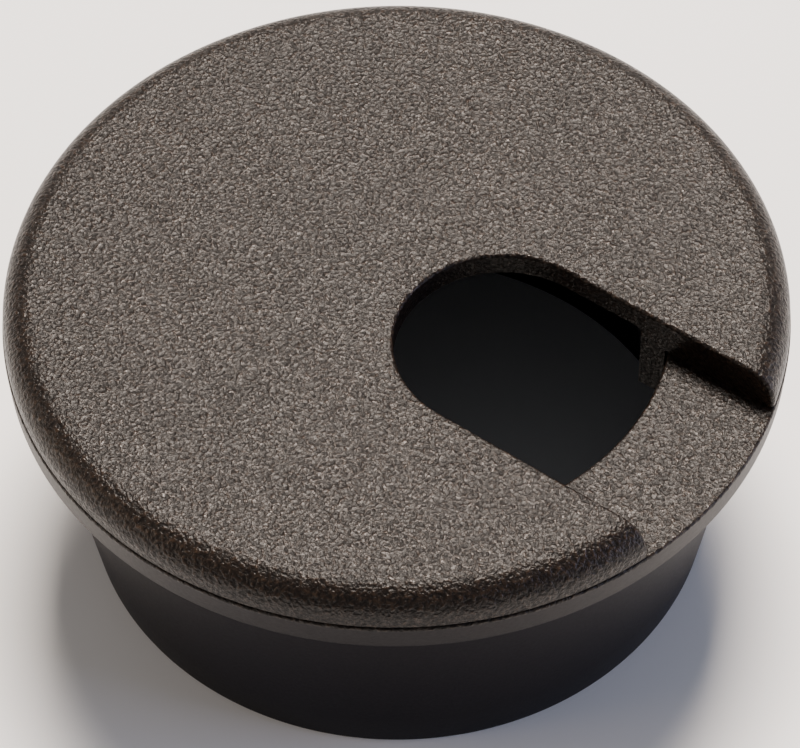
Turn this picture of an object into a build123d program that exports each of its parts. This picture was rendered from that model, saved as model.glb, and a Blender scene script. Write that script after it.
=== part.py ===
from build123d import *
import os

os.makedirs("parts", exist_ok=True)

# A two-piece desk grommet, which finishes the cable hole in a desk top.  The liner's barrel drops into
# the hole and its flange lies on the desk.  The cap rests on the flange, turns freely, and is held by
# hooks that snap under a lip in the liner's bore.  Cables come up through the cap's open slot.
#
# Sizes are in millimetres.  The origin is the centre of the flange's underside, level with the desk top.
# +Z points up out of the desk, and the cap's slot opens towards +X.

# ---- Driving sizes: liner ----
barrel_diameter = 50.6      # outside, for a 2 in (50.8 mm) hole
barrel_depth = 20.2         # flange underside to the barrel's lower edge
barrel_wall = 2.0
lead_in_height = 3.8        # the barrel's lower end tapers in over this height ...
lead_in_inset = 0.6         # ... by this much on the radius
flange_thickness = 2.3
flange_draft = 0.15         # the flange's side leans in by this much from top to bottom
flange_edge_radius = 0.25
flange_reach = 0.1          # the flange's upper edge stands this far out past the cap's rim
lip_inset = 2.25            # how far the lip at the bore's mouth stands in from the barrel's inside
lip_edge_radius = 0.25
barrel_end_radius = 0.3     # rounding of the barrel's lower edges

# ---- Driving sizes: cap ----
cap_diameter = 60.0
cap_height = 3.05           # above the flange
cap_edge_radius = 2.4       # the big rounding around the top
cap_plate = 2.0             # thickness of the top
cap_rim_wall = 2.0          # thickness of the wall that stands on the flange
cap_foot_chamfer = 0.15     # on the rim's lower edge, where it meets the flange
slot_width = 16.7
slot_end_centre = 10.0      # from the axis to the centre of the slot's round end
slot_wall = 1.6             # walls beside the slot, from the skirt out to the rim
slot_edge_radius = 0.3
skirt_wall = 2.0
skirt_depth = 3.0           # how far the skirt reaches below the flange's underside
tongue_count = 3            # spring tongues in the skirt
tongue_width = 10.0
tongue_wall = 1.3           # thinner than the skirt, so that the tongues can flex
slit_width = 1.2            # gaps that free the tongues at their sides
slit_top_land = 0.5         # skirt left whole between a slit and the top plate
hook_reach = 0.55           # how far a hook stands out past the lip
hook_land = 0.4             # height of the hook's outermost face
inner_fillet = 0.5          # rounding where the walls meet the plate inside

# ---- Clearances ----
skirt_clearance = 0.25      # skirt to lip, on the radius
hook_play = 0.3             # hook to the lip's sloping underside, along the axis

# ---- Derived sizes ----
barrel_radius = barrel_diameter / 2
barrel_inner_radius = barrel_radius - barrel_wall
lip_radius = barrel_inner_radius - lip_inset
cap_radius = cap_diameter / 2
flange_radius = cap_radius + flange_reach
flange_top = flange_thickness
cap_top = flange_top + cap_height
plate_underside = cap_top - cap_plate
rim_inner_radius = cap_radius - cap_rim_wall
slot_half_width = slot_width / 2
skirt_outer_radius = lip_radius - skirt_clearance
skirt_inner_radius = skirt_outer_radius - skirt_wall
skirt_bottom = -skirt_depth
hook_radius = lip_radius + hook_reach
margin = 5.0                # how far a cutting tool runs past what it cuts


def turned(corners):
    """Revolve an outline about Z.  Each corner is (radius, height, rounding of that corner)."""
    outline = make_face(Polyline(*[(r, z) for r, z, _ in corners], close=True))
    for r, z, rounding in corners:
        if rounding > 0:
            outline = fillet(outline.vertices().sort_by_distance((r, z))[0], rounding)
    return revolve(Plane.XZ * outline, Axis.Z)


def ring(inner_radius, outer_radius, low, high):
    """A plain ring about Z between two heights."""
    corners = [
        (inner_radius, low, 0),
        (outer_radius, low, 0),
        (outer_radius, high, 0),
        (inner_radius, high, 0),
    ]
    return turned(corners)


def block(x_range, y_range, z_range):
    """A box between pairs of X, Y and Z limits."""
    ranges = (x_range, y_range, z_range)
    sizes = [high - low for low, high in ranges]
    centre = [(high + low) / 2 for low, high in ranges]
    return Pos(*centre) * Box(*sizes)


def make_liner():
    """Flange and barrel in one moulding, with the lip that the cap snaps under."""
    corners = [
        (flange_radius - flange_draft, 0, 0),
        (flange_radius, flange_top, flange_edge_radius),
        (lip_radius, flange_top, lip_edge_radius),
        (lip_radius, 0, 0),
        (barrel_inner_radius, -lip_inset, 0),
        (barrel_inner_radius, -barrel_depth, barrel_end_radius),
        (barrel_radius - lead_in_inset, -barrel_depth, barrel_end_radius),
        (barrel_radius, -barrel_depth + lead_in_height, 0),
        (barrel_radius, 0, 0),
    ]
    return turned(corners)


def cap_shell():
    """Top plate, rounded rim and skirt, before the slot and the slits are cut."""
    corners = [
        (0, cap_top, 0),
        (cap_radius, cap_top, cap_edge_radius),
        (cap_radius, flange_top, 0),
        (rim_inner_radius, flange_top, 0),
        (rim_inner_radius, plate_underside, inner_fillet),
        (skirt_outer_radius, plate_underside, inner_fillet),
        (skirt_outer_radius, skirt_bottom, 0),
        (skirt_inner_radius, skirt_bottom, 0),
        (skirt_inner_radius, plate_underside, inner_fillet),
        (0, plate_underside, 0),
    ]
    return turned(corners)


def slot_walls():
    """Material beside the slot, down to the flange, from the skirt to the rim."""
    reach = slot_half_width + slot_wall
    strip = block((0, cap_radius), (-reach, reach), (flange_top, plate_underside))
    return strip & ring(skirt_inner_radius, cap_radius - cap_rim_wall / 2, flange_top, plate_underside)


def slot_cutter():
    """The slot's outline: a round end near the axis, open through the rim, cut right through."""
    low = skirt_bottom - margin
    high = cap_top + margin
    straight = block((slot_end_centre, cap_radius + margin), (-slot_half_width, slot_half_width), (low, high))
    round_end = Pos(slot_end_centre, 0, (low + high) / 2) * Cylinder(slot_half_width, high - low)
    return straight + round_end


def tongue_angles():
    """Angles of the tongues about Z.  They share the skirt evenly with the slot."""
    spacing = 360 / (tongue_count + 1)
    return [spacing * (index + 1) for index in range(tongue_count)]


def hook_ring():
    """Snap hook, as a full ring: a sloping catch under the lip and a longer lead-in below it."""
    catch_top = -hook_play + skirt_clearance
    catch_outer = -hook_play - hook_reach
    root = skirt_outer_radius - tongue_wall / 2
    corners = [
        (root, catch_top, 0),
        (skirt_outer_radius, catch_top, 0),
        (hook_radius, catch_outer, 0),
        (hook_radius, catch_outer - hook_land, 0),
        (skirt_outer_radius, skirt_bottom, 0),
        (root, skirt_bottom, 0),
    ]
    return turned(corners)


def tongue_cutters(angle):
    """What frees one tongue: a slit at each side, and a pocket behind it that thins its wall."""
    slit_top = plate_underside - slit_top_land
    z_range = (skirt_bottom - margin, slit_top)
    radial = (skirt_inner_radius / 2, rim_inner_radius)
    half_width = tongue_width / 2
    slits = block(radial, (half_width, half_width + slit_width), z_range)
    slits += block(radial, (-half_width - slit_width, -half_width), z_range)
    thinning = ring(skirt_inner_radius - margin, skirt_outer_radius - tongue_wall, *z_range)
    pocket = thinning & block(radial, (-half_width, half_width), z_range)
    return Rot(0, 0, angle) * (slits + pocket)


def tongue_hook(angle):
    """The part of the hook ring that one tongue carries."""
    x_range = (skirt_inner_radius / 2, cap_radius)
    y_range = (-tongue_width / 2, tongue_width / 2)
    sector = block(x_range, y_range, (skirt_bottom, flange_top))
    return hook_ring() & (Rot(0, 0, angle) * sector)


def foot_cutter():
    """Ring that chamfers the rim's lower edge."""
    size = cap_foot_chamfer
    return turned([
        (cap_radius - size, flange_top, 0),
        (cap_radius + size, flange_top, 0),
        (cap_radius + size, flange_top + 2 * size, 0),
    ])


def make_cap():
    """Cap with its slot, slot walls, skirt, spring tongues and hooks."""
    cap = cap_shell() + slot_walls()
    for angle in tongue_angles():
        cap -= tongue_cutters(angle)
        cap += tongue_hook(angle)
    cap -= slot_cutter()
    return round_slot_edges(cap) - foot_cutter()


def round_slot_edges(cap):
    """Round the slot's upper edge, from the foot of the rim on one side to the foot on the other."""
    on_slot_wall = [face for face in cap.faces() if is_slot_wall(face)]
    outside = [face for face in cap.faces() if is_outer_skin(face)]
    outer_edges = [edge for face in outside for edge in face.edges()]
    edges = [
        edge
        for face in on_slot_wall
        for edge in face.edges()
        if any(edge.is_same(other) for other in outer_edges)
    ]
    return fillet(edges, slot_edge_radius)


def is_slot_wall(face):
    """True for the slot's two flat sides and its round end."""
    point = face.position_at(0.5, 0.5)
    if face.geom_type == GeomType.PLANE:
        return abs(abs(point.Y) - slot_half_width) < 1e-4 and abs(face.normal_at().Y) > 0.99
    if face.geom_type == GeomType.CYLINDER:
        return abs((point - Vector(slot_end_centre, 0, point.Z)).length - slot_half_width) < 1e-4
    return False


def is_outer_skin(face):
    """True for the top, its rounded edge and the rim's upright band."""
    point = face.position_at(0.5, 0.5)
    if face.geom_type == GeomType.PLANE:
        return abs(point.Z - cap_top) < 1e-4 and abs(face.normal_at().Z) > 0.99
    if face.geom_type == GeomType.TORUS:
        return face.bounding_box().max.Z > cap_top - 1e-3
    if face.geom_type == GeomType.CYLINDER:
        return abs(Vector(point.X, point.Y, 0).length - cap_radius) < 1e-4
    return False


parts = {
    "liner": make_liner(),
    "cap": make_cap(),
}
for name, solid in parts.items():
    solid.label = name
    export_step(solid, f"parts/{name}.step")
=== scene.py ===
import logging
import math
from dataclasses import dataclass, field
from enum import Enum

import bmesh
import bpy
from mathutils import Matrix, Vector


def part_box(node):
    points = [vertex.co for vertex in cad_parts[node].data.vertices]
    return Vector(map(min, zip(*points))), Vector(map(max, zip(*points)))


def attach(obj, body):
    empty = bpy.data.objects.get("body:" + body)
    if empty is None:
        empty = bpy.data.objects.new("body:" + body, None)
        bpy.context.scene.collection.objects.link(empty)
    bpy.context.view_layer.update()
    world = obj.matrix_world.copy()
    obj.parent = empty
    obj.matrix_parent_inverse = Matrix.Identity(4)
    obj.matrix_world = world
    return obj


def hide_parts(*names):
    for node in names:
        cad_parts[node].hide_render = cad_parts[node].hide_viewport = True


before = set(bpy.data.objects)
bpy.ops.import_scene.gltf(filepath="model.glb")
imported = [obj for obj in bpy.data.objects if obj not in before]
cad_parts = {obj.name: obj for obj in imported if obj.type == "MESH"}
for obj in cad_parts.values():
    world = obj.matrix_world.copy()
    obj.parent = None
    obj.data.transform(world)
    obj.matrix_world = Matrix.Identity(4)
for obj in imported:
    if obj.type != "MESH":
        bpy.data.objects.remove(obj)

LOG = logging.getLogger("desk_grommet")
MM = 0.001
WELD = 1e-6
SHARP_ANGLE = 40
ABS_IOR = 1.54
DRIFT_SPACING = 9.0
DRIFT_TONE = 0.025
Point = tuple[float, float, float]
ProfilePoint = tuple[float, float]


# ---------------------------------------------------------------- shared helpers


def linear(hex_colour: str) -> tuple[float, float, float, float]:
    """Turn an sRGB hex colour into the linear RGBA that sockets take.

    Args:
        hex_colour: six hex digits with a leading #.

    Returns:
        Linear red, green, blue and an alpha of one.
    """
    channels = [int(hex_colour[i:i + 2], 16) / 255 for i in (1, 3, 5)]
    lit = [c / 12.92 if c <= 0.04045 else ((c + 0.055) / 1.055) ** 2.4 for c in channels]
    return (lit[0], lit[1], lit[2], 1.0)


def add_node(tree: bpy.types.NodeTree, kind: str, settings: dict | None = None,
             inputs: dict | None = None) -> bpy.types.Node:
    """Add one node to a shader or geometry tree, with its settings and what feeds it.

    Args:
        tree: the tree that gets the node.
        kind: the node's type name.
        settings: attributes of the node itself.
        inputs: input name or index, to a plain value or to the output socket that is linked to it.

    Returns:
        The new node.
    """
    node = tree.nodes.new(kind)
    for name, value in (settings or {}).items():
        setattr(node, name, value)
    for key, value in (inputs or {}).items():
        if isinstance(value, bpy.types.NodeSocket):
            tree.links.new(value, node.inputs[key])
        else:
            node.inputs[key].default_value = value
    return node


def rounded_profile(corners: list[tuple[float, float, float]], steps: int) -> list[ProfilePoint]:
    """Trace a closed outline and turn each rounded corner into a fillet.

    Args:
        corners: radius, height and rounding of each corner, in order.
        steps: how many points each quarter turn of a fillet gets.

    Returns:
        Radius and height of each point, in order.
    """
    points: list[ProfilePoint] = []
    for index, (r, z, rounding) in enumerate(corners):
        here = Vector((r, z))
        if rounding <= 0:
            points.append((r, z))
            continue
        before = (Vector(corners[index - 1][:2]) - here).normalized()
        after = (Vector(corners[(index + 1) % len(corners)][:2]) - here).normalized()
        half = before.angle(after) / 2
        centre = here + (before + after).normalized() * rounding / math.sin(half)
        start = here + before * rounding / math.tan(half) - centre
        end = here + after * rounding / math.tan(half) - centre
        turn = start.angle_signed(end)
        count = max(2, round(abs(turn) / (math.pi / 2) * steps))
        for step in range(count + 1):
            arm = Matrix.Rotation(-turn * step / count, 2) @ start
            points.append(tuple(centre + arm))
    return points


def new_object(name: str, mesh: bpy.types.Mesh) -> bpy.types.Object:
    """Link a mesh into the scene as an object at the origin.

    Args:
        name: name of the object.
        mesh: its mesh.

    Returns:
        The new object.
    """
    made = bpy.data.objects.new(name, mesh)
    bpy.context.scene.collection.objects.link(made)
    return made


def smooth(piece: bpy.types.Object) -> None:
    """Shade a piece smooth, keep its true corners sharp and let its broad faces stay flat.

    Args:
        piece: the finished mesh object.
    """
    piece.data.shade_smooth()
    piece.data.set_sharp_from_angle(angle=math.radians(SHARP_ANGLE))
    weighted = piece.modifiers.new("Broad faces flat", "WEIGHTED_NORMAL")
    weighted.keep_sharp = True
    weighted.weight = 100


# ---------------------------------------------------------------- finishes


class Surface(Enum):
    """How the mould's steel was finished, which the plastic copies."""

    SPARK_ERODED = "spark eroded"
    DRAW_POLISHED = "draw polished"


@dataclass(frozen=True)
class MouldedPlastic:
    """Injection-moulded ABS in one colour.

    Attributes:
        name: material name.
        surface: finish of the mould.
        colour: body colour of the plastic.
        crest_highlight: lighter colour painted on the raised grain as a painted highlight, where light
            scatters more; the pits keep the darker body colour as painted shade.
        grain: spacing of the grain in mm.
        depth: height of the grain in mm.
        roughness: lowest and highest roughness over the grain.
        gloss: strength of the surface reflection, 0.5 for bare polished plastic.
        pits: share of that strength left in the pits of the grain.
    """

    name: str
    surface: Surface
    colour: str
    crest_highlight: str
    grain: float
    depth: float
    roughness: tuple[float, float]
    gloss: float
    pits: float

    def material(self) -> bpy.types.Material:
        """Build the node material, or find it if it is there already.

        Returns:
            The material.
        """
        known = bpy.data.materials.get(self.name)
        if known:
            return known
        made = bpy.data.materials.new(self.name)
        made.use_nodes = True
        tree = made.node_tree
        tree.nodes.clear()
        place = add_node(tree, "ShaderNodeTexCoord").outputs["Object"]
        relief = self._relief(tree, place)
        drift = add_node(tree, "ShaderNodeTexNoise", inputs={
            "Vector": place, "Scale": 1 / (DRIFT_SPACING * MM), "Detail": 2.0}).outputs["Fac"]
        shade = add_node(tree, "ShaderNodeMapRange", inputs={
            "Value": drift, "From Min": 0.35, "From Max": 0.65,
            "To Min": -DRIFT_TONE, "To Max": DRIFT_TONE}).outputs["Result"]
        tone = add_node(tree, "ShaderNodeMath", {"operation": "ADD", "use_clamp": True}, {
            0: relief, 1: shade}).outputs[0]
        # The grain's crests are painted in the lighter crest colour as a painted highlight, and its pits keep
        # the darker body colour as painted shade; the drift adds random tone that is the plastic's own.
        painted_highlight_share = add_node(tree, "ShaderNodeMath", {"operation": "POWER"}, {0: tone, 1: 3.0}).outputs[0]
        colour = add_node(tree, "ShaderNodeMix", {"data_type": "RGBA"}, {
            "Factor": painted_highlight_share, 6: linear(self.colour), 7: linear(self.crest_highlight)}).outputs[2]
        rough = add_node(tree, "ShaderNodeMapRange", inputs={
            "Value": tone, "To Min": self.roughness[1], "To Max": self.roughness[0]}).outputs["Result"]
        gloss = add_node(tree, "ShaderNodeMapRange", inputs={
            "Value": relief, "From Min": 0.2, "From Max": 0.8,
            "To Min": self.gloss * self.pits, "To Max": self.gloss}).outputs["Result"]
        bump = add_node(tree, "ShaderNodeBump", inputs={
            "Height": relief, "Distance": self.depth * MM, "Strength": 1.0}).outputs["Normal"]
        shader = add_node(tree, "ShaderNodeBsdfPrincipled", inputs={
            "Base Color": colour, "Roughness": rough, "Normal": bump, "IOR": ABS_IOR,
            "Specular IOR Level": gloss})
        add_node(tree, "ShaderNodeOutputMaterial", inputs={"Surface": shader.outputs["BSDF"]})
        return made

    def _relief(self, tree: bpy.types.NodeTree, place: bpy.types.NodeSocket) -> bpy.types.NodeSocket:
        """Make the height of the grain, from 0 to 1: a noise ripple, with craters where sparks struck.

        Args:
            tree: the material's tree.
            place: object coordinates.

        Returns:
            The socket that carries the height.
        """
        ripple = add_node(tree, "ShaderNodeTexNoise", inputs={
            "Vector": place, "Scale": 1 / (self.grain * MM), "Detail": 2.0, "Roughness": 0.55,
            "Distortion": 0.4}).outputs["Fac"]
        if self.surface is Surface.DRAW_POLISHED:
            return ripple
        craters = add_node(tree, "ShaderNodeTexVoronoi", {"feature": "SMOOTH_F1"}, {
            "Vector": place, "Scale": 0.8 / (self.grain * MM), "Smoothness": 0.35}).outputs["Distance"]
        spread = add_node(tree, "ShaderNodeMapRange", inputs={
            "Value": ripple, "From Min": 0.3, "From Max": 0.7}).outputs["Result"]
        return add_node(tree, "ShaderNodeMix", {"data_type": "FLOAT"}, {
            "Factor": 0.4, 2: spread, 3: craters}).outputs[0]


# Both mouldings are the same dark brown ABS, and differ only in the mould's surface.
# Spark-eroded steel leaves a coarse grain whose crests scatter light and glint; the crests are also painted
# lighter as a painted highlight, and the pits darker as painted shade.
GRAINED = MouldedPlastic(
    "abs_spark_eroded", Surface.SPARK_ERODED, colour="#0b0807", crest_highlight="#372b22",
    grain=0.3, depth=0.095, roughness=(0.22, 0.47), gloss=0.188, pits=0.65)
# Finer steel on the flange's side and lip gives an even satin with a soft highlight.  The real texture is
# too fine to show, so it is drawn at the same spacing as the grain, but far lower.
# The satin's ripple crests are painted a little lighter than its body colour, as a painted highlight.
SATIN = MouldedPlastic(
    "abs_satin", Surface.DRAW_POLISHED, colour="#0b0709", crest_highlight="#150e11",
    grain=0.3, depth=0.012, roughness=(0.4, 0.5), gloss=0.16, pits=0.85)
# Draw-polished steel lets the barrel out of the mould and leaves it smooth and almost even.  Its colour is
# painted darker than the rest of the same plastic, as painted shade under the flange, and its ripple's crests
# a little lighter, as a painted highlight.  Its faint ripple is drawn coarser than the real one, which is too
# fine to show.
PLAIN = MouldedPlastic(
    "abs_draw_polished", Surface.DRAW_POLISHED, colour="#080509", crest_highlight="#100b11",
    grain=0.25, depth=0.008, roughness=(0.42, 0.5), gloss=0.18, pits=0.85)


# ---------------------------------------------------------------- liner


@dataclass
class LinerMoulding:
    """Flange and barrel in one moulding, turned from one outline.  Sizes in mm."""

    flange_top: float
    barrel_bottom: float
    flange_radius: float = 30.1
    barrel_radius: float = 25.3
    barrel_wall: float = 2.0
    lead_in_height: float = 3.8
    lead_in_inset: float = 0.6
    barrel_end_radius: float = 0.3
    flange_draft: float = 0.15
    flange_edge_radius: float = 0.25
    flange_foot_radius: float = 0.08
    lip_inset: float = 2.25
    lip_edge_radius: float = 0.25
    lip_under_radius: float = 0.1
    lip_slope_radius: float = 0.3
    fillet_steps: int = 6
    segments: int = 288

    def outline(self) -> list[ProfilePoint]:
        """Trace the closed outline of the wall, from the flange's foot over the lip and down the bore.

        Returns:
            Radius and height of each point, in order.
        """
        bore = self.barrel_radius - self.barrel_wall
        lip = bore - self.lip_inset
        low = self.barrel_bottom
        return rounded_profile([
            (self.flange_radius - self.flange_draft, 0, self.flange_foot_radius),
            (self.flange_radius, self.flange_top, self.flange_edge_radius),
            (lip, self.flange_top, self.lip_edge_radius),
            (lip, 0, self.lip_under_radius),
            (bore, -self.lip_inset, self.lip_slope_radius),
            (bore, low, self.barrel_end_radius),
            (self.barrel_radius - self.lead_in_inset, low, self.barrel_end_radius),
            (self.barrel_radius, low + self.lead_in_height, 0),
            (self.barrel_radius, 0, 0),
        ], self.fillet_steps)

    def build(self) -> bpy.types.Object:
        """Turn the outline with Geometry Nodes and keep the result as a plain mesh.

        Returns:
            The finished piece.
        """
        outline = self.outline()
        wire = bpy.data.meshes.new("liner_outline")
        wire.from_pydata([(r * MM, 0, z * MM) for r, z in outline], [], [])
        source = new_object("liner_outline", wire)
        tree = turning_tree()
        turning = source.modifiers.new("Turning", "NODES")
        turning.node_group = tree
        sizes = {"Segments": self.segments, "Grained": GRAINED.material(), "Satin": SATIN.material(),
                 "Plain": PLAIN.material(), "Grain Floor": (self.flange_top - self.flange_edge_radius) * MM}
        for item in tree.interface.items_tree:
            if item.item_type == "SOCKET" and item.name in sizes:
                turning[item.identifier] = sizes[item.name]
        graph = bpy.context.evaluated_depsgraph_get()
        mesh = bpy.data.meshes.new_from_object(source.evaluated_get(graph))
        mesh.name = "liner_moulding"
        source.modifiers.clear()
        bpy.data.objects.remove(source)
        piece = new_object("liner_moulding", mesh)
        smooth(piece)
        return piece

    def dress(self, piece: bpy.types.Object) -> None:
        """Put the piece on its body in place of the plain node.

        Args:
            piece: the finished piece.
        """
        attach(piece, "liner")
        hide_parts("liner")


def turning_tree() -> bpy.types.NodeTree:
    """Geometry tree that turns a closed outline of loose points about Z.

    Returns:
        The node group, with inputs for the number of segments, the three finishes and the height above
        which the moulding is grained.
    """
    tree = bpy.data.node_groups.new("Turned moulding", "GeometryNodeTree")
    face = tree.interface
    face.new_socket("Outline", in_out="INPUT", socket_type="NodeSocketGeometry")
    face.new_socket("Segments", in_out="INPUT", socket_type="NodeSocketInt").default_value = 64
    face.new_socket("Grained", in_out="INPUT", socket_type="NodeSocketMaterial")
    face.new_socket("Satin", in_out="INPUT", socket_type="NodeSocketMaterial")
    face.new_socket("Plain", in_out="INPUT", socket_type="NodeSocketMaterial")
    face.new_socket("Grain Floor", in_out="INPUT", socket_type="NodeSocketFloat")
    face.new_socket("Moulding", in_out="OUTPUT", socket_type="NodeSocketGeometry")
    given = add_node(tree, "NodeGroupInput").outputs
    count = add_node(tree, "GeometryNodeAttributeDomainSize", inputs={"Geometry": given["Outline"]})
    points = count.outputs["Point Count"]
    columns = add_node(tree, "ShaderNodeMath", {"operation": "ADD"}, {
        0: given["Segments"], 1: 1.0}).outputs[0]
    rows = add_node(tree, "ShaderNodeMath", {"operation": "ADD"}, {0: points, 1: 1.0}).outputs[0]
    sheet = add_node(tree, "GeometryNodeMeshGrid", inputs={
        "Vertices X": columns, "Vertices Y": rows}).outputs["Mesh"]
    index = add_node(tree, "GeometryNodeInputIndex").outputs["Index"]
    row = add_node(tree, "ShaderNodeMath", {"operation": "MODULO"}, {0: index, 1: rows}).outputs[0]
    wrapped = add_node(tree, "ShaderNodeMath", {"operation": "MODULO"}, {0: row, 1: points}).outputs[0]
    share = add_node(tree, "ShaderNodeMath", {"operation": "DIVIDE"}, {0: index, 1: rows}).outputs[0]
    column = add_node(tree, "ShaderNodeMath", {"operation": "FLOOR"}, {0: share}).outputs[0]
    step = add_node(tree, "ShaderNodeMath", {"operation": "DIVIDE"}, {
        0: math.tau, 1: given["Segments"]}).outputs[0]
    angle = add_node(tree, "ShaderNodeMath", {"operation": "MULTIPLY"}, {0: column, 1: step}).outputs[0]
    position = add_node(tree, "GeometryNodeInputPosition").outputs["Position"]
    corner = add_node(tree, "GeometryNodeSampleIndex", {"data_type": "FLOAT_VECTOR", "domain": "POINT"}, {
        "Geometry": given["Outline"], "Value": position, "Index": wrapped}).outputs["Value"]
    turned = add_node(tree, "ShaderNodeVectorRotate", {"rotation_type": "Z_AXIS"}, {
        "Vector": corner, "Angle": angle}).outputs["Vector"]
    placed = add_node(tree, "GeometryNodeSetPosition", inputs={"Geometry": sheet, "Position": turned})
    welded = add_node(tree, "GeometryNodeMergeByDistance", inputs={
        "Geometry": placed.outputs["Geometry"], "Distance": WELD}).outputs["Geometry"]
    real = add_node(tree, "GeometryNodeRealizeInstances", inputs={"Geometry": welded}).outputs["Geometry"]
    height = add_node(tree, "ShaderNodeSeparateXYZ", inputs={"Vector": position}).outputs["Z"]
    # The barrel is plain, what lies above the flange's underside is satin, and its top is grained.
    dressed = add_node(tree, "GeometryNodeSetMaterial", inputs={
        "Geometry": real, "Material": given["Plain"]}).outputs["Geometry"]
    for above, finish in ((0.0, "Satin"), (given["Grain Floor"], "Grained")):
        higher = add_node(tree, "FunctionNodeCompare", {"data_type": "FLOAT", "operation": "GREATER_THAN"}, {
            0: height, 1: above}).outputs["Result"]
        dressed = add_node(tree, "GeometryNodeSetMaterial", inputs={
            "Geometry": dressed, "Selection": higher, "Material": given[finish]}).outputs["Geometry"]
    add_node(tree, "NodeGroupOutput", inputs={"Moulding": dressed})
    return tree


# ---------------------------------------------------------------- cap


class Section(Enum):
    """What the skirt is over one stretch of columns."""

    SKIRT = "skirt"
    SLIT = "slit"
    TONGUE = "tongue"


@dataclass
class Shell:
    """Rows of vertices and the faces between them, collected in mm and turned into one closed mesh."""

    points: list[Point] = field(default_factory=list)
    faces: list[list[int]] = field(default_factory=list)

    def add(self, point: Point) -> int:
        """Add one vertex and return its index."""
        self.points.append(point)
        return len(self.points) - 1

    def bridge(self, one: list[int], other: list[int], start: int = 0, stop: int | None = None) -> None:
        """Join two rows with quads.

        Args:
            one: vertex indices of the first row.
            other: vertex indices of the second row, one for each of the first.
            start: first column.
            stop: last column, or None for the whole row.
        """
        last = len(one) - 1 if stop is None else stop
        for i in range(start, last):
            self.faces.append([one[i], one[i + 1], other[i + 1], other[i]])

    def mesh(self, name: str) -> bpy.types.Mesh:
        """Weld the rows into one mesh with its faces pointing outwards.

        Args:
            name: name of the mesh.

        Returns:
            The closed mesh, in metres.
        """
        made = bpy.data.meshes.new(name)
        made.from_pydata([[value * MM for value in point] for point in self.points], [], self.faces)
        work = bmesh.new()
        work.from_mesh(made)
        bmesh.ops.remove_doubles(work, verts=work.verts, dist=WELD)
        bmesh.ops.dissolve_degenerate(work, edges=work.edges, dist=WELD / 10)
        loose = [vert for vert in work.verts if not vert.link_faces]
        bmesh.ops.delete(work, geom=loose, context="VERTS")
        bmesh.ops.recalc_face_normals(work, faces=work.faces)
        open_edges = sum(1 for edge in work.edges if len(edge.link_faces) != 2)
        if work.calc_volume(signed=True) < 0:
            bmesh.ops.reverse_faces(work, faces=work.faces)
        LOG.info("%s: %d vertices, %d open edges", name, len(work.verts), open_edges)
        work.to_mesh(made)
        work.free()
        return made


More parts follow.
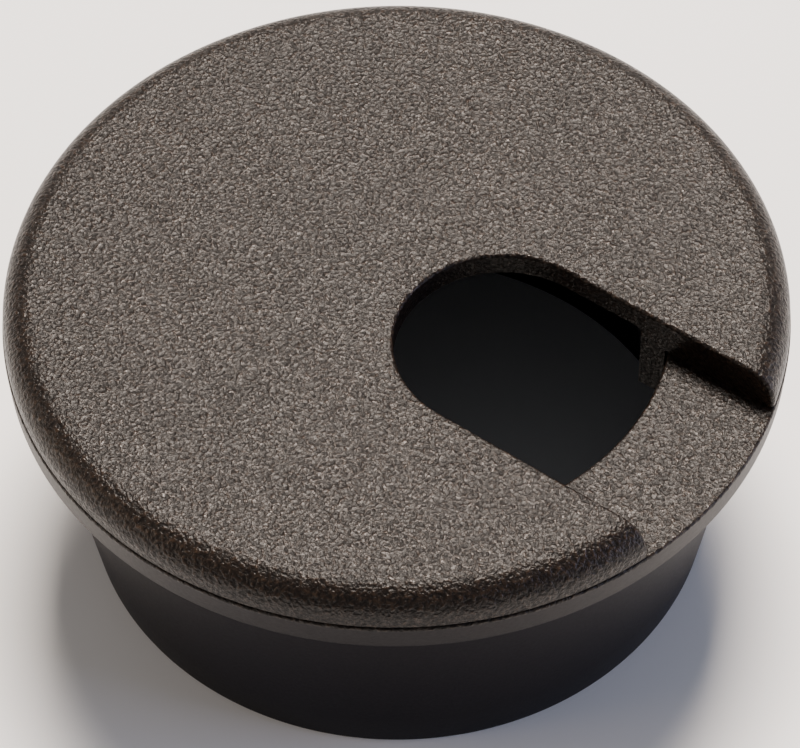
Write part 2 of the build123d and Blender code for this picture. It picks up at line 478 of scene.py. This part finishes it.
@dataclass
class CapMoulding:
    """The snap-in cap: rounded top with an open slot, rim, skirt and spring tongues.  Sizes in mm.

    The mesh is rows about the axis, each of the same number of columns.  Column 0 lies on one side of
    the slot and the last column on the other.  Rows of the underside have their columns fitted to the
    skirt's stretches, and evenly spread within a radius of even_columns_within.

    column_plan is the number of columns of the skirt before the first tongue, of a slit, of a tongue and
    of the skirt between two tongues.
    """

    radius: float
    top: float
    skirt_bottom: float
    foot: float
    edge_radius: float = 2.4
    plate: float = 2.0
    rim_wall: float = 2.0
    foot_chamfer: float = 0.15
    slot_half_width: float = 8.35
    slot_end_centre: float = 10.0
    slot_wall: float = 1.6
    slot_edge_radius: float = 0.3
    skirt_outer: float = 20.8
    skirt_wall: float = 2.0
    tongue_count: int = 3
    tongue_width: float = 10.0
    tongue_wall: float = 1.3
    slit_width: float = 1.2
    hook_radius: float = 21.6
    hook_slope_top: float = -0.05
    hook_land: float = 0.4
    inner_fillet: float = 0.5
    even_columns_within: float = 11.5
    edge_steps: int = 12
    slot_steps: int = 6
    end_steps: int = 24
    fillet_steps: int = 4
    top_rows: int = 16
    ceiling_rows: int = 5
    end_columns: int = 4
    column_plan: tuple[int, int, int, int] = (34, 2, 20, 48)

    def __post_init__(self) -> None:
        """Work out the sizes that follow from the others."""
        self.shell = Shell()
        self.underside = self.top - self.plate
        self.wall_reach = self.slot_half_width + self.slot_wall
        self.sections = self._sections()
        self.columns = self.sections[-1][2]

    def _sections(self) -> list[tuple[Section, int, int]]:
        """Share the columns out among the stretches of the skirt.

        Returns:
            The kind of each stretch, with its first and last column.
        """
        first, slit, tongue, between = self.column_plan
        kinds = [(Section.SKIRT, self.end_columns + first)]
        for index in range(self.tongue_count):
            after = between if index < self.tongue_count - 1 else first + self.end_columns
            kinds += [(Section.SLIT, slit), (Section.TONGUE, tongue), (Section.SLIT, slit)]
            kinds.append((Section.SKIRT, after))
        spans, start = [], 0
        for kind, count in kinds:
            spans.append((kind, start, start + count))
            start += count
        return spans

    def slot_angle(self, radius: float, reach: float) -> float:
        """Angle at which a circle about the axis meets the slot's outline.

        Args:
            radius: radius of the circle.
            reach: half the slot's width, grown by however far the outline is offset.

        Returns:
            The angle from +X in radians, or zero where the circle passes behind the slot's end.
        """
        centre = self.slot_end_centre
        if radius * radius >= centre * centre + reach * reach:
            return math.asin(reach / radius)
        if radius <= centre - reach:
            return 0.0
        cosine = (radius * radius + centre * centre - reach * reach) / (2 * radius * centre)
        return math.acos(max(-1.0, min(1.0, cosine)))

    def even_angles(self, start: float) -> list[float]:
        """Spread the column angles evenly from one side of the slot round to the other.

        Args:
            start: angle at which the row leaves the slot.

        Returns:
            One angle for each column.
        """
        span = math.tau - 2 * start
        return [start + span * i / self.columns for i in range(self.columns + 1)]

    def fitted_angles(self, radius: float, start: float) -> list[float]:
        """Column angles that meet the slot walls, the slits and the tongues.

        Args:
            radius: radius of the row.
            start: angle at which the row leaves the slot.

        Returns:
            One angle for each column.
        """
        wall = self.slot_angle(radius, self.wall_reach)
        mean = self.skirt_outer - self.skirt_wall / 2
        half_tongue = self.tongue_width / 2 / mean
        half_gap = half_tongue + self.slit_width / mean
        marks = [(0, start), (self.end_columns, wall)]
        # Each tongue starts four stretches: a slit, the tongue, a slit and the skirt after it.
        offsets = (-half_gap, -half_tongue, half_tongue, half_gap)
        for index, (_, first, _) in enumerate(self.sections[1:]):
            spring, part = divmod(index, len(offsets))
            middle = math.tau * (spring + 1) / (self.tongue_count + 1)
            marks.append((first, middle + offsets[part]))
        marks += [(self.columns - self.end_columns, math.tau - wall), (self.columns, math.tau - start)]
        angles: list[float] = []
        for (first, low), (last, high) in zip(marks, marks[1:]):
            angles += [low + (high - low) * i / (last - first) for i in range(last - first)]
        return angles + [marks[-1][1]]

    def row(self, radius: float, height: float, angles: list[float]) -> list[int]:
        """Add a row of vertices, one at each of the angles."""
        return [self.shell.add((radius * math.cos(a), radius * math.sin(a), height)) for a in angles]

    def hidden_row(self, radius: float, height: float) -> list[int]:
        """Add a row of the underside, ending at the slot's walls.

        Args:
            radius: the row's radius.
            height: the row's height.

        Returns:
            The row's vertex indices.
        """
        start = self.slot_angle(radius, self.slot_half_width)
        if radius < self.even_columns_within:
            return self.row(radius, height, self.even_angles(start))
        return self.row(radius, height, self.fitted_angles(radius, start))

    def build(self) -> bpy.types.Object:
        """Make the cap's closed mesh.

        Returns:
            The finished piece.
        """
        rims, bands = self.outer_skin()
        ceiling = self.inside(rims[0], bands)
        LOG.info("cap: %d rows on the outer skin, %d ceiling rows", len(rims), len(ceiling))
        piece = new_object("cap_moulding", self.shell.mesh("cap_moulding"))
        piece.data.materials.append(GRAINED.material())
        piece.data.materials.append(PLAIN.material())
        smooth(piece)
        return piece

    def skin_rows(self) -> list[tuple[float, float, float, float, float]]:
        """Rows of the outer skin from the foot to the slot's closed end.

        Returns:
            Radius, height, outward and upward parts of the normal, and the slot edge's rounding.
        """
        soft = self.slot_edge_radius
        corner = self.radius - self.edge_radius
        shoulder = self.top - self.edge_radius
        reach = self.slot_half_width + soft
        rows = [(self.radius - self.foot_chamfer, self.foot, 1.0, 0.0, 0.0),
                (self.radius, self.foot + self.foot_chamfer, 1.0, 0.0, soft)]
        for step in range(self.edge_steps + 1):
            turn = math.pi / 2 * step / self.edge_steps
            outward, upward = math.cos(turn), math.sin(turn)
            rows.append((corner + self.edge_radius * outward, shoulder + self.edge_radius * upward,
                         outward, upward, soft))
        far = math.sqrt(corner ** 2 - reach ** 2)
        for step in range(1, self.top_rows + 1):
            x = far + (self.slot_end_centre - far) * step / self.top_rows
            rows.append((math.hypot(x, reach), self.top, 0.0, 1.0, soft))
        for step in range(1, self.end_steps + 1):
            turn = math.pi / 2 * (1 - step / self.end_steps)
            rows.append((self._end_radius(reach, turn), self.top, 0.0, 1.0, soft))
        return rows

    def _end_radius(self, reach: float, turn: float) -> float:
        """Distance from the axis of a point on the slot's round end, turned from straight back."""
        return math.hypot(self.slot_end_centre - reach * math.cos(turn), reach * math.sin(turn))

    def outer_skin(self) -> tuple[list[list[int]], list[list[list[int]]]]:
        """Top, rounded rim and the rounding of the slot's edge.

        Returns:
            The rows of the skin, and for each side of the slot its rounding, row by row.
        """
        rows: list[list[int]] = []
        bands: list[list[list[int]]] = [[], []]
        for radius, height, outward, upward, soft in self.skin_rows():
            hub = radius - soft * outward
            reach = self.slot_half_width + soft
            angle = self.slot_angle(hub, reach)
            row = self.row(radius, height, self.even_angles(angle))
            if rows:
                self.shell.bridge(rows[-1], row)
            rows.append(row)
            for side, sign in enumerate((1, -1)):
                radial = Vector((math.cos(angle), sign * math.sin(angle), 0))
                centre = radial * hub + Vector((0, 0, height - soft * upward))
                normal = radial * outward + Vector((0, 0, upward))
                wall = self._wall_direction(centre, sign)
                edge = row[0] if sign > 0 else row[-1]
                arc = [edge]
                for step in range(1, self.slot_steps + 1):
                    direction = normal.slerp(wall, step / self.slot_steps)
                    arc.append(self.shell.add(tuple(centre + direction * soft)))
                if bands[side]:
                    self.shell.bridge(bands[side][-1], arc)
                bands[side].append(arc)
        disc_radius = self.slot_end_centre - self.slot_half_width - self.slot_edge_radius
        self.close_disc(rows[-1], disc_radius, self.top)
        return rows, bands

    def _wall_direction(self, place: Vector, sign: int) -> Vector:
        """Find the direction from the cap's material straight into the slot.

        Args:
            place: a point beside the slot.
            sign: 1 for the slot's +Y side and -1 for the other.

        Returns:
            The unit vector.
        """
        if place.x >= self.slot_end_centre - WELD:
            return Vector((0, -sign, 0))
        return Vector((self.slot_end_centre - place.x, -place.y, 0)).normalized()

    def close_disc(self, edge: list[int], radius: float, height: float) -> None:
        """Fill the disc between the slot's closed end and the axis.

        Args:
            edge: the row round the disc.
            radius: the disc's radius.
            height: its height.
        """
        last = edge
        for share in (0.66, 0.33):
            ring = self.row(radius * share, height, self.even_angles(0.0))
            self.shell.bridge(last, ring)
            last = ring
        pole = self.shell.add((0.0, 0.0, height))
        for one, other in zip(last, last[1:]):
            self.shell.faces.append([one, other, pole])

    def inside(self, foot_row: list[int], bands: list[list[list[int]]]) -> list[list[int]]:
        """Underside of the rim and plate, skirt, tongues and the slot's walls.

        Args:
            foot_row: the outer skin's lowest row.
            bands: the slot edge's rounding on both sides, row by row.

        Returns:
            The ceiling rows over the bore.
        """
        shell = self.shell
        rim_inner = self.radius - self.rim_wall
        fillet = self.inner_fillet
        spring_top = self.underside - fillet
        rim_row = self.hidden_row(rim_inner, self.foot)
        shell.bridge(foot_row, rim_row)
        low, high = self.end_columns, self.columns - self.end_columns
        hollow = [rim_row]
        for radius, height in self._arc(rim_inner - fillet, spring_top, fillet, 0, 90):
            hollow.append(self.hidden_row(radius, height))
        for radius, height in self._arc(self.skirt_outer + fillet, spring_top, fillet, 90, 180):
            hollow.append(self.hidden_row(radius, height))
        for one, other in zip(hollow, hollow[1:]):
            shell.bridge(one, other, low, high)
        skirt_top = hollow[-1]
        inner_top = self.hidden_row(self.skirt_outer - self.skirt_wall, spring_top)
        skirt_rows = self.skirt(skirt_top, inner_top)
        shoulder_row = skirt_rows[0]
        for column in (low, high):
            shell.faces.append([row[column] for row in hollow] + [shoulder_row[column]])
        shell.faces.append(rim_row[:low + 1] + shoulder_row[low::-1])
        shell.faces.append(rim_row[high:] + shoulder_row[:high - 1:-1])
        ceiling = [inner_top]
        inner = self.skirt_outer - self.skirt_wall - fillet
        for radius, height in self._arc(inner, spring_top, fillet, 0, 90)[1:]:
            ceiling.append(self.hidden_row(radius, height))
        far = math.sqrt(inner ** 2 - self.slot_half_width ** 2)
        for step in range(1, self.ceiling_rows + 1):
            x = far + (self.slot_end_centre - far) * step / self.ceiling_rows
            ceiling.append(self.hidden_row(math.hypot(x, self.slot_half_width), self.underside))
        straight_end = len(ceiling) - 1
        for step in range(1, self.end_steps + 1):
            turn = math.pi / 2 * (1 - step / self.end_steps)
            ceiling.append(self.hidden_row(self._end_radius(self.slot_half_width, turn), self.underside))
        for one, other in zip(ceiling, ceiling[1:]):
            shell.bridge(one, other)
        self.close_disc(ceiling[-1], self.slot_end_centre - self.slot_half_width, self.underside)
        self.slot_walls(bands, ceiling, straight_end, [rim_row] + skirt_rows)
        return ceiling

    def _arc(self, centre_r: float, centre_z: float, radius: float, start: int,
             stop: int) -> list[ProfilePoint]:
        """Divide a quarter fillet of the profile.

        Args:
            centre_r: radius of the fillet's centre from the axis.
            centre_z: height of its centre.
            radius: the fillet's own radius.
            start: first angle in degrees.
            stop: last angle in degrees.

        Returns:
            Radius and height of each point, in order.
        """
        steps = self.fillet_steps
        turns = [math.radians(start + (stop - start) * i / steps) for i in range(steps + 1)]
        return [(centre_r + radius * math.cos(t), centre_z + radius * math.sin(t)) for t in turns]

    def skirt(self, skirt_top: list[int], inner_top: list[int]) -> list[list[int]]:
        """Skirt below the plate, with its slits and hooked tongues.

        Args:
            skirt_top: the skirt's outer row just under the plate.
            inner_top: its inner row at the same height.

        Returns:
            The rows of the plain skirt: level with the flange, and both lower edges.
        """
        outer, inner, low = self.skirt_outer, self.skirt_outer - self.skirt_wall, self.skirt_bottom
        plain = [self.hidden_row(outer, self.foot), self.hidden_row(outer, low), self.hidden_row(inner, low)]
        reach = self.hook_radius - outer
        behind = outer - self.tongue_wall
        slit_top = self.underside - self.inner_fillet
        land_top = self.hook_slope_top - reach
        land_bottom = land_top - self.hook_land
        hooked = [(outer, self.hook_slope_top), (self.hook_radius, land_top), (self.hook_radius, land_bottom),
                  (outer, low), (behind, low), (behind, slit_top)]
        tongue = [self.hidden_row(radius, height) for radius, height in hooked]
        loops = {
            Section.SKIRT: [skirt_top] + plain + [inner_top],
            Section.TONGUE: [skirt_top] + tongue + [inner_top],
            Section.SLIT: [skirt_top, inner_top],
        }
        first, last = self.end_columns, self.columns - self.end_columns
        for kind, start, stop in self.sections:
            rows = loops[kind]
            for one, other in zip(rows, rows[1:]):
                solid_beside_slot = one is skirt_top
                begin = max(start, first) if solid_beside_slot else start
                end = min(stop, last) if solid_beside_slot else stop
                self.shell.bridge(one, other, begin, end)
            for column in (start, stop):
                if kind is not Section.SLIT and 0 < column < self.columns:
                    self.shell.faces.append([row[column] for row in rows])
        return plain

    def slot_walls(self, bands: list[list[list[int]]], ceiling: list[list[int]], straight_end: int,
                   lower_rows: list[list[int]]) -> None:
        """Close the slot's two flat sides and its round end.

        Args:
            bands: the slot edge's rounding on both sides, row by row.
            ceiling: the rows over the bore.
            straight_end: index of the ceiling row where the round end starts.
            lower_rows: the rim's inner row and the skirt's rows, whose ends lie on the walls.
        """
        for side, column in enumerate((0, -1)):
            edge = [arc[-1] for arc in bands[side]]
            turn_row = len(edge) - 1 - self.end_steps
            rising = edge[:turn_row + 1]
            falling = [ceiling[i][column] for i in range(straight_end, -1, -1)]
            inward = [row[column] for row in reversed(lower_rows)]
            self.shell.faces.append(rising + falling + inward)
            upper = edge[turn_row:]
            lower = [row[column] for row in ceiling[straight_end:]]
            self.shell.bridge(upper, lower)

    def dress(self, piece: bpy.types.Object) -> None:
        """Put the piece on its body in place of the plain node, smooth below and grained above.

        Args:
            piece: the finished piece.
        """
        plain_below = (self.underside - 2) * MM
        for polygon in piece.data.polygons:
            faces_down = polygon.normal.z < -0.5
            polygon.material_index = 1 if faces_down or polygon.center.z < plain_below else 0
        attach(piece, "cap")
        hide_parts("cap")


# ---------------------------------------------------------------- studio


@dataclass(frozen=True)
class Softbox:
    """One square studio light.

    Attributes:
        name: name of the light.
        azimuth: degrees round the object, 0 in front of the camera and 90 on its right.
        elevation: degrees above the floor.
        distance: metres from the object.
        size: width in metres.
        power: watts.
        colour: tint of the light.
    """

    name: str
    azimuth: float
    elevation: float
    distance: float
    size: float
    power: float
    colour: str


# A large light behind the object leaves its near rim dark, and two low ones draw its sides.
SOFTBOXES = (
    Softbox("key", azimuth=174, elevation=62, distance=1.2, size=0.5, power=48, colour="#fff2e6"),
    Softbox("right", azimuth=80, elevation=12, distance=1.0, size=0.5, power=5.5, colour="#d2d8ff"),
    Softbox("left", azimuth=-85, elevation=12, distance=1.0, size=0.5, power=3.8, colour="#ffe6cc"),
)


@dataclass
class Studio:
    """Pale floor, soft lights and the camera.  Lengths in metres but the lens in mm, angles in degrees."""

    target: Vector
    floor_height: float
    azimuth: float = 36.45
    elevation: float = 50.65
    distance: float = 0.326
    lens: float = 192.1
    roll: float = 0.67
    aim_right: float = 0.00021
    aim_down: float = 0.005145
    floor_radius: float = 4.0
    floor_gap: float = 0.00005
    ambient: float = 0.35

    def direction(self, azimuth: float, elevation: float) -> Vector:
        """Find the unit vector from the object towards a place round it.

        Args:
            azimuth: degrees round the object.
            elevation: degrees above the floor.

        Returns:
            The unit vector.
        """
        a, e = math.radians(azimuth), math.radians(elevation)
        return Vector((math.sin(a) * math.cos(e), -math.cos(a) * math.cos(e), math.sin(e)))

    def camera(self) -> None:
        """Set the camera to look down at the grommet."""
        back = self.direction(self.azimuth, self.elevation)
        right = Vector((0, 0, 1)).cross(back).normalized()
        up = back.cross(right)
        place = self.target + back * self.distance
        aim = self.target + right * self.aim_right - up * self.aim_down
        data = bpy.data.cameras.new("camera")
        data.lens = self.lens
        data.clip_start = 0.01
        camera = bpy.data.objects.new("camera", data)
        bpy.context.scene.collection.objects.link(camera)
        camera.location = place
        look = (aim - place).to_track_quat("-Z", "Y")
        camera.rotation_mode = "QUATERNION"
        camera.rotation_quaternion = look @ Matrix.Rotation(math.radians(-self.roll), 3, "Z").to_quaternion()
        bpy.context.scene.camera = camera

    def light(self, box: Softbox) -> None:
        """Hang one softbox and point it at the grommet.

        Args:
            box: the softbox.
        """
        data = bpy.data.lights.new(box.name, "AREA")
        data.size = box.size
        data.energy = box.power
        data.color = linear(box.colour)[:3]
        lamp = bpy.data.objects.new(box.name, data)
        bpy.context.scene.collection.objects.link(lamp)
        back = self.direction(self.azimuth + box.azimuth, box.elevation)
        lamp.location = self.target + back * box.distance
        lamp.rotation_mode = "QUATERNION"
        lamp.rotation_quaternion = (-back).to_track_quat("-Z", "Y")

    def floor(self) -> None:
        """Lay the pale floor just under the barrel's end, so that the two never share a plane."""
        mesh = bpy.data.meshes.new("floor")
        work = bmesh.new()
        bmesh.ops.create_circle(work, cap_ends=True, segments=96, radius=self.floor_radius)
        work.to_mesh(mesh)
        work.free()
        sheet = new_object("floor", mesh)
        sheet.location.z = self.floor_height - self.floor_gap
        paper = bpy.data.materials.new("floor_paper")
        paper.use_nodes = True
        shader = paper.node_tree.nodes["Principled BSDF"]
        shader.inputs["Base Color"].default_value = linear("#f6f6f6")
        shader.inputs["Roughness"].default_value = 0.9
        mesh.materials.append(paper)

    def surroundings(self) -> None:
        """Fill the room with a faint even light."""
        world = bpy.data.worlds.new("studio")
        world.use_nodes = True
        background = world.node_tree.nodes["Background"]
        background.inputs["Color"].default_value = linear("#c9cbd0")
        background.inputs["Strength"].default_value = self.ambient
        bpy.context.scene.world = world


def main() -> None:
    """Build the two mouldings, light them and set the camera."""
    logging.basicConfig(level=logging.INFO, format="%(name)s: %(message)s")
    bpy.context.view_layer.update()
    liner_low, liner_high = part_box("liner")
    cap_low, cap_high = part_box("cap")
    flange_top = liner_high.z / MM

    liner = LinerMoulding(flange_top, liner_low.z / MM)
    liner_piece = liner.build()
    liner.dress(liner_piece)
    LOG.info("liner_moulding: %d faces", len(liner_piece.data.polygons))

    cap = CapMoulding(-cap_low.x / MM, cap_high.z / MM, cap_low.z / MM, flange_top)
    cap_piece = cap.build()
    cap.dress(cap_piece)
    LOG.info("cap_moulding: %d faces", len(cap_piece.data.polygons))

    studio = Studio(Vector((0, 0, liner_high.z)), liner_low.z)
    studio.camera()
    studio.floor()
    studio.surroundings()
    for box in SOFTBOXES:
        studio.light(box)


if __name__ == "__main__":
    main()
